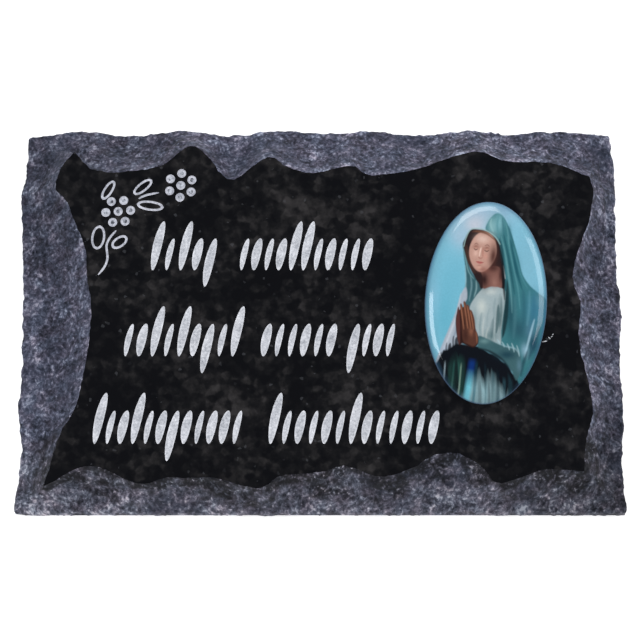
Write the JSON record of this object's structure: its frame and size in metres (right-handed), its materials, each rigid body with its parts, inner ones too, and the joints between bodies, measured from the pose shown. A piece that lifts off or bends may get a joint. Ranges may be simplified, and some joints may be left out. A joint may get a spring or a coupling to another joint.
{
  "type": "grave plaque",
  "caption": "Dark granite grave plaque with hewn edges, a polished face with rows of chiselled strokes and a flower sprig, and a domed oval medallion.",
  "frame": {"origin": "centre of the slab's box, on the surface that it lies on", "axes": "+X along the rows of strokes, to the right as read; +Y up the face; +Z out of the polished face"},
  "size_m": [0.2992, 0.193, 0.0355],
  "materials": {
    "granite": "polished face, rough hewn edges, white paint in the cuts",
    "glazed_picture": "glossy"
  },
  "bodies": {
    "root": {"granite_slab": "granite", "oval_medallion": "glazed_picture"}
  },
  "joints": []
}
